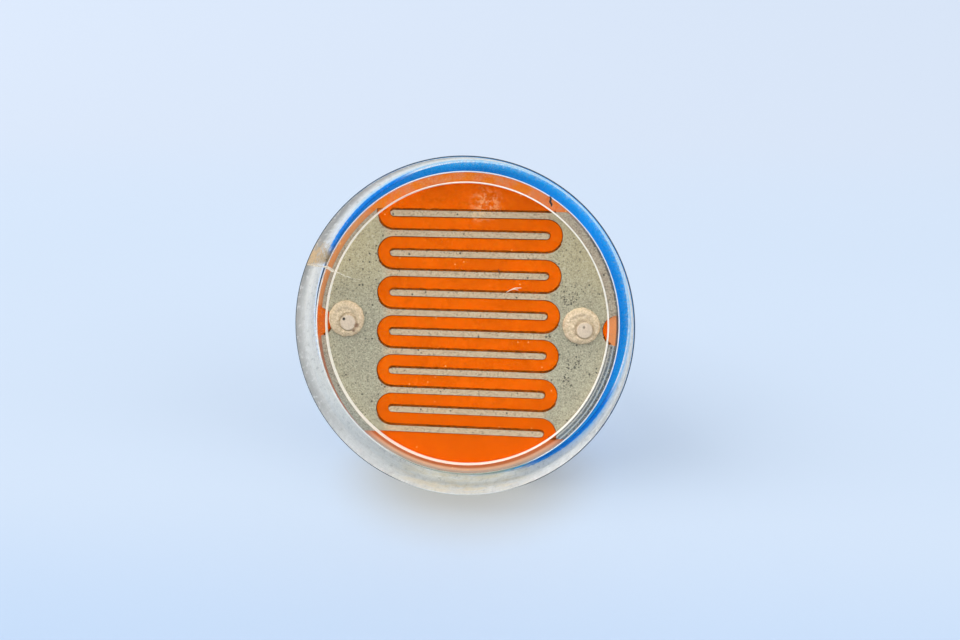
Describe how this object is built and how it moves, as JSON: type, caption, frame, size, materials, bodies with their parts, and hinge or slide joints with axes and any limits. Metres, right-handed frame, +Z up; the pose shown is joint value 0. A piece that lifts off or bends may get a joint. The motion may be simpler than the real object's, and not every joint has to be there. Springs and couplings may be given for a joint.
{
  "type": "photoresistor",
  "caption": "Round photoresistor: a clear moulded cap over a disc with an orange serpentine track between grey comb electrodes, a blue resin back and straight wire leads.",
  "frame": {"origin": "On the ground plane, under the middle of the part's box as it rests on its rim and lead ends", "axes": "+X to the right as seen from the window side, +Y from the window towards the lead ends, +Z up"},
  "size_m": [0.0139, 0.0308, 0.0144],
  "materials": {
    "clear_plastic": "clear moulded plastic, scuffed on the side wall",
    "white_ceramic": "unglazed",
    "orange_layer": "matte sintered layer",
    "grey_film": "dull metal film",
    "cream_cement": "dried conductive cement",
    "tinned_wire": "dull tinned",
    "blue_resin": "cast resin"
  },
  "bodies": {
    "root": {"clear_cap": "clear_plastic", "ceramic_disc": "white_ceramic", "photo_layer": "orange_layer", "electrode_left": "grey_film", "electrode_right": "grey_film", "contact_left": "cream_cement", "contact_right": "cream_cement", "lead_left": "tinned_wire", "lead_right": "tinned_wire", "potting": "blue_resin"}
  },
  "joints": []
}
